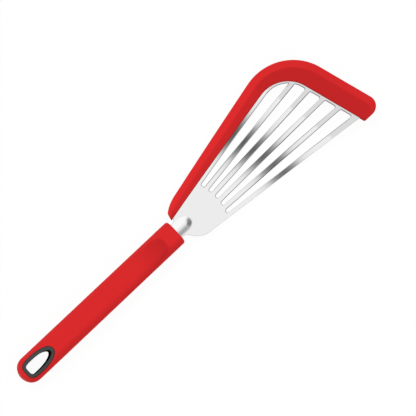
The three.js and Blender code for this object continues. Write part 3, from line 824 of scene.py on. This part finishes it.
def neck_pocket():
    """The opening in the front of the sleeve that the neck and its rib come out of."""
    half = SHEET / 2 + SEAM
    side = NECK_WIDTH / 2 + SEAM
    across = np.linspace(-side, side, NECK_POCKET_STEPS + 1)
    rings = []
    for x in np.linspace(-GRIP_FRONT_WALL - SEAM, GRIP_FRONT_WALL, 2 * ROUND_STEPS + 1):
        plan = x + 1j * across
        middle = pressed_height(plan)
        rings.append([*lifted(plan, middle + half), *lifted(plan, middle - half)[::-1]])
    return make_object("neck_pocket", loft(rings))


def ring_outline():
    turns = np.linspace(0, 2 * math.pi, RING_STEPS, endpoint=False)
    along, aside = np.cos(turns), np.sin(turns)
    power = np.where(along < 0, RING_REAR_POWER, RING_FRONT_POWER)
    length = np.where(along < 0, RING_REAR_LENGTH, RING_LENGTH - RING_REAR_LENGTH)
    x = np.sign(along) * length * abs(along) ** (2 / power)
    y = np.sign(aside) * RING_WIDTH / 2 * abs(aside) ** (2 / power)
    return RING_SETBACK + RING_REAR_LENGTH - HANDLE_LENGTH + x + 1j * y


def prism(name, outline, low, high):
    levels = [np.full(len(outline), height) for height in (low, high)]
    return make_object(name, loft([lifted(outline, level) for level in levels]))


def painted_grip_shade(piece):
    """Painted shade at each vertex of the grip: darker on its sides, and in the dip towards its front and
    right.
    """
    places = np.array([vertex.co for vertex in piece.data.vertices])
    x, y, z = ((places - FRAME_ORIGIN) / MM).T
    ahead = np.clip((x + DIP_SETBACK) / DIP_FRONT_LENGTH, 0, 1)
    away = ahead ** DIP_SHADE_BLUNTNESS + abs(2 * y / DIP_SHADE_WIDTH) ** DIP_SHADE_BLUNTNESS
    inside_shade = np.clip((1 - away) / DIP_SHADE_EDGE, 0, 1) * (z > HANDLE_MIDDLE_Z)
    lip_shade = 1 + (DIP_LIP_SHADE_LEVEL - 1) * ahead ** DIP_SHADE_POWER * inside_shade
    in_dip = abs(z - dip_floor(x, y, 0)) < DIP_BLEND
    side_shade = np.where(z > HANDLE_MIDDLE_Z, np.interp(y, GRIP_SIDES, GRIP_SIDE_SHADE_LEVELS), 1)
    return lip_shade * np.where(in_dip, np.interp(y, DIP_SIDES, DIP_SIDE_SHADE_LEVELS), side_shade)


def make_grip(material):
    piece = make_object("grip_sleeve", loft(list(dipped(handle_rings()))))
    outline = ring_outline()
    out = outward(outline)
    half_flange = RING_FLANGE_HEIGHT / 2 + SEAM
    flange = outline + (RING_FLANGE_WIDTH + SEAM) * out
    cut(piece, [
        prism("ring_pocket", outline + SEAM * out, -TALL, TALL),
        prism("flange_pocket", flange, HANDLE_MIDDLE_Z - half_flange, HANDLE_MIDDLE_Z + half_flange),
        core_pocket(),
        neck_pocket(),
    ])
    piece.data.shade_smooth()
    piece.data.set_sharp_from_angle(angle=SHARP_ANGLE)
    # The grip's painted shade, kept as level
    paint(piece, "level", painted_grip_shade(piece))
    finish_piece(piece, "handle_grip", material)


def handle_half_height(plan):
    """Half the thickness of the handle over a point of its plan near the butt."""
    half_width, half_height = butt_section(plan.real)
    radius = np.minimum(HANDLE_EDGE_RADIUS, np.minimum(half_width, half_height))
    past = np.clip(abs(plan.imag) - (half_width - radius), 0, radius)
    return half_height - radius + np.sqrt(radius ** 2 - past ** 2)


def make_ring(material):
    """The liner, with painted shade making its bore and the rim on its right side black."""
    outline = ring_outline()
    out = outward(outline)
    turns = np.linspace(0, math.pi / 2, 2 * ROUND_STEPS + 1)
    rounding = [(1 - math.sin(turn), 1 - math.cos(turn)) for turn in turns]
    face = [(RING_SEAM_ROUND * inset, RING_SEAM_ROUND * drop) for inset, drop in reversed(rounding)]
    face.append((RING_WALL - RING_SHADE_RIM, 0))
    face.extend((RING_WALL - RING_RIM_ROUND * inset, RING_RIM_ROUND * drop) for inset, drop in rounding)
    sides = [(1, face), (-1, face[::-1])]
    half, width = RING_FLANGE_HEIGHT / 2, RING_FLANGE_WIDTH
    flange = [(0, -half), (width, -half), (width, half), (0, half)]
    rings = []
    for side, rims in sides:
        for inset, drop in rims:
            plan = outline - inset * out
            rings.append(lifted(plan, HANDLE_MIDDLE_Z + side * (handle_half_height(plan) - drop)))
    for reach, height in flange:
        rings.append(lifted(outline + reach * out, np.full(len(outline), HANDLE_MIDDLE_Z + height)))
    piece = make_object("hole_liner", loft(rings, closed=True))
    on_right = np.clip(-out.imag, 0, 1)
    bore_shade_values = []
    for inset, _ in [row for _, rims in sides for row in rims] + flange:
        in_bore = inset == RING_WALL
        on_rim = inset >= RING_WALL - RING_RIM_ROUND
        bore_shade_values.append(np.ones(len(outline)) if in_bore else on_right * on_rim)
    # Painted shade: black in the bore, fading out over the rim on the right side
    paint(piece, "bore_shade", np.concatenate(bore_shade_values))
    piece.data.set_sharp_from_angle(angle=SHARP_ANGLE)
    finish_piece(piece, "hang_ring", material)


# Materials

# Colours, and the tones between which they vary
RED = (0.703, 0.0222, 0.0235)
RED_MOTTLE_LEVEL = 0.985
STEEL_LEVELS = (0.845, 0.855)
# Painted shade on the sheet's edge bevels
STEEL_EDGE_SHADE_LEVEL = 0.62
DARK_GREY = (0.040, 0.046, 0.046)
LIGHTER_GREY = (0.050, 0.057, 0.057)
# Painted shade: the black of the liner's bore
BORE_SHADE_LEVEL = 0.002

# Gloss, with the values of the bore's painted shade between which the bore's gloss fades out
STEEL_ROUGHNESS = (0.015, 0.025)
RUBBER_ROUGHNESS = (0.48, 0.62)
RUBBER_SPECULAR = 0.04
PLASTIC_ROUGHNESS = (0.42, 0.58)
PLASTIC_SPECULAR = 0.3
BORE_SHADE_FADE = (0.3, 0.7)

# Noises: the stretch along each axis, the scale and the detail. Most of their values lie in NOISE_RANGE.
EVEN = (1, 1, 1)
BRUSHED = (1, 60, 60)
STEEL_GRAIN = (BRUSHED, 40, 4)
STEEL_CLOUDS = (EVEN, 30, 2)
RUBBER_GRAIN = (EVEN, 1800, 2)
RUBBER_MOTTLE = (EVEN, 60, 3)
PLASTIC_GRAIN = (EVEN, 1400, 3)
PLASTIC_MOTTLE = (EVEN, 80, 3)
NOISE_RANGE = (0.3, 0.7)

# Relief of the grains, and the share of it that shows
GRAIN_DEPTH = 0.00003
RUBBER_RELIEF = 0.15
PLASTIC_RELIEF = 0.2

# Sockets of a mix node: the two colours that go in and the colour that comes out
MIX_ONE = 6
MIX_OTHER = 7
MIX_RESULT = 2


def opaque(colour):
    return (*colour, 1)


def grey(level):
    return opaque((level, level, level))


class Nodes:
    """A node tree and short ways to add nodes to it. Their values are numbers, colours or sockets."""

    def __init__(self, tree):
        self.tree = tree

    def feed(self, socket, value):
        if isinstance(value, bpy.types.NodeSocket):
            self.tree.links.new(value, socket)
        else:
            socket.default_value = value

    def node(self, kind, inputs, **settings):
        """A node with settings of its own and values on its input sockets."""
        made = self.tree.nodes.new(kind)
        for name, setting in settings.items():
            setattr(made, name, setting)
        for place, value in inputs.items():
            self.feed(made.inputs[place], value)
        return made

    def mixed(self, factor, one, other, blend="MIX"):
        """A colour between two, or one blended into the other."""
        inputs = {"Factor": factor, MIX_ONE: one, MIX_OTHER: other}
        made = self.node("ShaderNodeMix", inputs, data_type="RGBA", blend_type=blend)
        return made.outputs[MIX_RESULT]

    def ranged(self, value, low, high, to_low, to_high):
        """A value moved from one range to another."""
        inputs = {"Value": value, "From Min": low, "From Max": high, "To Min": to_low, "To Max": to_high}
        return self.node("ShaderNodeMapRange", inputs).outputs["Result"]

    def worked_out(self, operation, *values):
        return self.node("ShaderNodeMath", dict(enumerate(values)), operation=operation).outputs["Value"]


class Surface(Nodes):
    """A material with a principled shader."""

    def __init__(self, name):
        self.material = bpy.data.materials.new(name)
        self.material.use_nodes = True
        super().__init__(self.material.node_tree)
        self.shader = self.tree.nodes["Principled BSDF"]
        self.place = self.node("ShaderNodeTexCoord", {}).outputs["Object"]

    def set(self, name, value):
        """Puts a value on a socket of the shader."""
        self.feed(self.shader.inputs[name], value)

    def noise(self, stretch, scale, detail):
        """Noise in the frame of the object, stretched by a factor along each axis."""
        placed = self.node("ShaderNodeMapping", {"Vector": self.place, "Scale": stretch})
        inputs = {"Vector": placed.outputs["Vector"], "Scale": scale, "Detail": detail}
        return self.node("ShaderNodeTexNoise", inputs).outputs["Fac"]

    def scaled(self, colour, factor):
        inputs = {"Vector": colour, "Scale": factor}
        return self.node("ShaderNodeVectorMath", inputs, operation="SCALE").outputs["Vector"]

    def painted(self, name):
        """A value that was kept at the vertices."""
        return self.node("ShaderNodeAttribute", {}, attribute_name=name).outputs["Fac"]

    def bump(self, height, strength):
        inputs = {"Strength": strength, "Distance": GRAIN_DEPTH, "Height": height}
        self.set("Normal", self.node("ShaderNodeBump", inputs).outputs["Normal"])


def steel_material():
    """Brushed steel, with painted shade darkening the edge bevels that are marked as cut."""
    steel = Surface("brushed_steel")
    steel.set("Metallic", 1)
    dark, light = (grey(level) for level in STEEL_LEVELS)
    polished = steel.mixed(steel.noise(*STEEL_CLOUDS), dark, light)
    steel.set("Base Color", steel.mixed(steel.painted("cut"), polished, grey(STEEL_EDGE_SHADE_LEVEL)))
    steel.set("Roughness", steel.ranged(steel.noise(*STEEL_GRAIN), *NOISE_RANGE, *STEEL_ROUGHNESS))
    return steel.material


def red_rubber(name):
    """Soft red rubber with a fine matt grain, made lighter and darker by the painted light and shade kept as
    level.
    """
    rubber = Surface(name)
    rubber.set("Specular IOR Level", RUBBER_SPECULAR)
    grain = rubber.noise(*RUBBER_GRAIN)
    mottle = rubber.ranged(rubber.noise(*RUBBER_MOTTLE), *NOISE_RANGE, 0, 1)
    darker = [RED_MOTTLE_LEVEL * share for share in RED]
    tone = rubber.mixed(mottle, opaque(darker), opaque(RED))
    rubber.set("Base Color", rubber.scaled(tone, rubber.painted("level")))
    rubber.set("Roughness", rubber.ranged(grain, *NOISE_RANGE, *RUBBER_ROUGHNESS))
    rubber.bump(grain, RUBBER_RELIEF)
    return rubber.material


def dark_plastic(name):
    """Dark grey plastic with a fine grain: the surface, and the socket of its colour."""
    plastic = Surface(name)
    plastic.set("Specular IOR Level", PLASTIC_SPECULAR)
    grain = plastic.noise(*PLASTIC_GRAIN)
    colour = plastic.mixed(plastic.noise(*PLASTIC_MOTTLE), opaque(DARK_GREY), opaque(LIGHTER_GREY))
    plastic.set("Base Color", colour)
    plastic.set("Roughness", plastic.ranged(grain, *NOISE_RANGE, *PLASTIC_ROUGHNESS))
    plastic.bump(grain, PLASTIC_RELIEF)
    return plastic, colour


def liner_material():
    """The plastic of the liner, with painted shade making it black and without gloss where the bore is painted.
    """
    plastic, colour = dark_plastic("liner_plastic")
    bore_shade = plastic.painted("bore_shade")
    plastic.set("Base Color", plastic.mixed(bore_shade, colour, grey(BORE_SHADE_LEVEL)))
    plastic.set("Specular IOR Level", plastic.ranged(bore_shade, *BORE_SHADE_FADE, PLASTIC_SPECULAR, 0))
    return plastic.material


make_blade(steel_material())
make_soft_edge(red_rubber("edge_silicone"))
make_grip(red_rubber("grip_rubber"))
make_ring(liner_material())
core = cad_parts["handle_core"]
core_plastic, _ = dark_plastic("core_plastic")
core.data.materials.clear()
core.data.materials.append(core_plastic.material)

# Light

SKY_SHARE = 0.75
SUN_SHARE = 0.25
SUN_HEIGHT = math.radians(55)
SUN_AZIMUTH = math.radians(90)
SUN_SOFTNESS = math.radians(20)
FLOOR_SIZE = 8
FLOOR_GAP = 0.00002
FLOOR_COLOUR = 0.8
FLOOR_SHADOW = 0.05

# The sky that metal sees: its brightness by how far a ray points in a direction, from -1 to 1
SKY_FORWARD = (
    (-0.9, 0.3), (-0.3, 0.8), (-0.118, 0.83), (-0.112, 0.985), (0.8, 0.985), (0.9, 0.82), (0.95, 0.53),
    (0.985, 0.34),
)
SKY_LEFTWARD = ((-0.97, 0.42), (-0.9, 0.6), (-0.63, 0.84), (-0.2, 1), (0.3, 1), (0.7, 1.12))
FRONT_RIGHT = (0.82, -0.57, 0)
SKY_FRONT_RIGHT = ((0.78, 1), (0.88, 0.74), (0.93, 0.46), (0.97, 0.29), (1, 0.26))

# Its dark band overhead: the brightness by how far forward a ray points past the middle of the band. The band
# is narrower and paler on the first of its two sides, which are told by how far a ray points along it.
BAND_MIDDLE = 0.082
SKY_BAND = (
    (0, 0.15), (0.018, 0.183), (0.036, 0.28), (0.05, 0.4), (0.06, 0.53), (0.07, 0.68), (0.082, 0.8),
    (0.095, 0.89), (0.115, 0.95), (0.15, 1),
)
BAND_SIDES = (-0.0633, -0.0576)
BAND_WIDTHS = (0.88, 1.13)
BAND_DEPTHS = (0.87, 1.1)


def make_sun():
    light = bpy.data.lights.new("sun", "SUN")
    light.energy = SUN_SHARE * math.pi / math.sin(SUN_HEIGHT)
    light.angle = SUN_SOFTNESS
    sun = bpy.data.objects.new("sun", light)
    sun.visible_glossy = False
    towards = Vector((
        math.cos(SUN_AZIMUTH) * math.cos(SUN_HEIGHT),
        math.sin(SUN_AZIMUTH) * math.cos(SUN_HEIGHT),
        math.sin(SUN_HEIGHT),
    ))
    sun.rotation_euler = towards.to_track_quat("Z", "Y").to_euler()
    bpy.context.scene.collection.objects.link(sun)


class Sky(Nodes):
    """The nodes of a world, whose values depend on where a ray points."""

    def __init__(self, world):
        world.use_nodes = True
        super().__init__(world.node_tree)
        self.ray = self.node("ShaderNodeTexCoord", {}).outputs["Generated"]

    def towards(self, direction):
        """How far a ray points in a direction, from -1 to 1."""
        inputs = dict(enumerate((self.ray, direction)))
        return self.node("ShaderNodeVectorMath", inputs, operation="DOT_PRODUCT").outputs["Value"]

    def ramp(self, share, stops):
        """A brightness that runs through stops, each at a share from -1 to 1."""
        made = self.node("ShaderNodeValToRGB", {"Fac": self.ranged(share, -1, 1, 0, 1)})
        elements = made.color_ramp.elements
        anywhere = 0.5
        while len(elements) < len(stops):
            elements.new(anywhere)
        for element, (at, level) in zip(elements, stops):
            element.position = (at + 1) / 2
            element.color = grey(level)
        return made.outputs["Color"]


def make_sky():
    """An even white sky. Metal sees it with a dark band overhead and darker to the right and to the front."""
    world = bpy.data.worlds.new("sky")
    bpy.context.scene.world = world
    sky = Sky(world)
    forward = sky.towards((1, 0, 0))
    along_band = sky.towards((-BEND_SKEW, 1, 0))
    width = sky.ranged(along_band, *BAND_SIDES, *BAND_WIDTHS)
    depth = sky.ranged(along_band, *BAND_SIDES, *BAND_DEPTHS)
    past_middle = sky.worked_out("DIVIDE", sky.worked_out("SUBTRACT", forward, BAND_MIDDLE), width)
    band = sky.ramp(sky.worked_out("ABSOLUTE", past_middle), SKY_BAND)
    seen_by_metal = sky.ramp(forward, SKY_FORWARD)
    for level in (
        sky.worked_out("POWER", band, depth),
        sky.ramp(sky.towards((0, 1, 0)), SKY_LEFTWARD),
        sky.ramp(sky.towards(FRONT_RIGHT), SKY_FRONT_RIGHT),
    ):
        seen_by_metal = sky.mixed(1, seen_by_metal, level, "MULTIPLY")
    paths = sky.node("ShaderNodeLightPath", {})
    seen_by_object = sky.mixed(paths.outputs["Is Glossy Ray"], grey(SKY_SHARE), seen_by_metal)
    seen = sky.mixed(paths.outputs["Is Camera Ray"], seen_by_object, grey(1))
    sky.feed(sky.tree.nodes["Background"].inputs["Color"], seen)


def make_floor():
    """A white table, a hair under the object, that keeps a faint shadow of it."""
    half = FLOOR_SIZE / 2
    mesh = bpy.data.meshes.new("floor")
    corners = [(x * half, y * half, -FLOOR_GAP) for x, y in ((-1, -1), (1, -1), (1, 1), (-1, 1))]
    mesh.from_pydata(corners, [], [range(len(corners))])
    floor = bpy.data.objects.new("floor", mesh)
    bpy.context.scene.collection.objects.link(floor)
    material = bpy.data.materials.new("white_table")
    material.use_nodes = True
    mesh.materials.append(material)
    table = Nodes(material.node_tree)
    table.tree.nodes.remove(table.tree.nodes["Principled BSDF"])
    plain = table.node("ShaderNodeBsdfDiffuse", {"Color": grey(FLOOR_COLOUR)}).outputs["BSDF"]
    shadow = table.node("ShaderNodeBsdfDiffuse", {"Color": grey(FLOOR_SHADOW)}).outputs["BSDF"]
    glow = table.node("ShaderNodeEmission", {"Strength": 1 - FLOOR_SHADOW}).outputs["Emission"]
    bright = table.node("ShaderNodeAddShader", dict(enumerate((shadow, glow)))).outputs["Shader"]
    paths = table.node("ShaderNodeLightPath", {}).outputs
    straight = paths["Is Camera Ray"]
    for name in ("Is Glossy Ray", "Is Transmission Ray"):
        straight = table.worked_out("MAXIMUM", straight, paths[name])
    seen = table.node("ShaderNodeMixShader", dict(enumerate((straight, plain, bright)))).outputs["Shader"]
    table.feed(table.tree.nodes["Material Output"].inputs["Surface"], seen)


make_sun()
make_sky()
make_floor()

# Camera: high over the table, leaning a little towards the butt, with the handle rising to the right. It
# looks at a place in the construction frame.

LOOK_AT = (30.07, -3.46, HANDLE_MIDDLE_Z)
CAMERA_DISTANCE = 8
CAMERA_LEAN_BACK = math.radians(9.4)
CAMERA_LEAN_LEFT = math.radians(1.8)
HANDLE_ANGLE = math.radians(43.56)
FRAME_WIDTH = 0.3071
SENSOR_WIDTH = 36


def make_camera():
    data = bpy.data.cameras.new("camera")
    data.sensor_width = SENSOR_WIDTH
    data.lens = SENSOR_WIDTH * CAMERA_DISTANCE / FRAME_WIDTH
    data.clip_end = 2 * FLOOR_SIZE
    camera = bpy.data.objects.new("camera", data)
    bpy.context.scene.collection.objects.link(camera)
    back = Vector((-math.tan(CAMERA_LEAN_BACK), math.tan(CAMERA_LEAN_LEFT), 1)).normalized()
    right = Vector((math.sin(HANDLE_ANGLE), math.cos(HANDLE_ANGLE), 0)).cross(back).normalized()
    up = back.cross(right)
    turn = Matrix((right, up, back)).transposed().to_4x4()
    target = Vector(np.array(LOOK_AT) * MM + FRAME_ORIGIN)
    camera.matrix_world = Matrix.Translation(target + CAMERA_DISTANCE * back) @ turn
    bpy.context.scene.camera = camera


make_camera()
bpy.context.scene.view_settings.view_transform = "Standard"
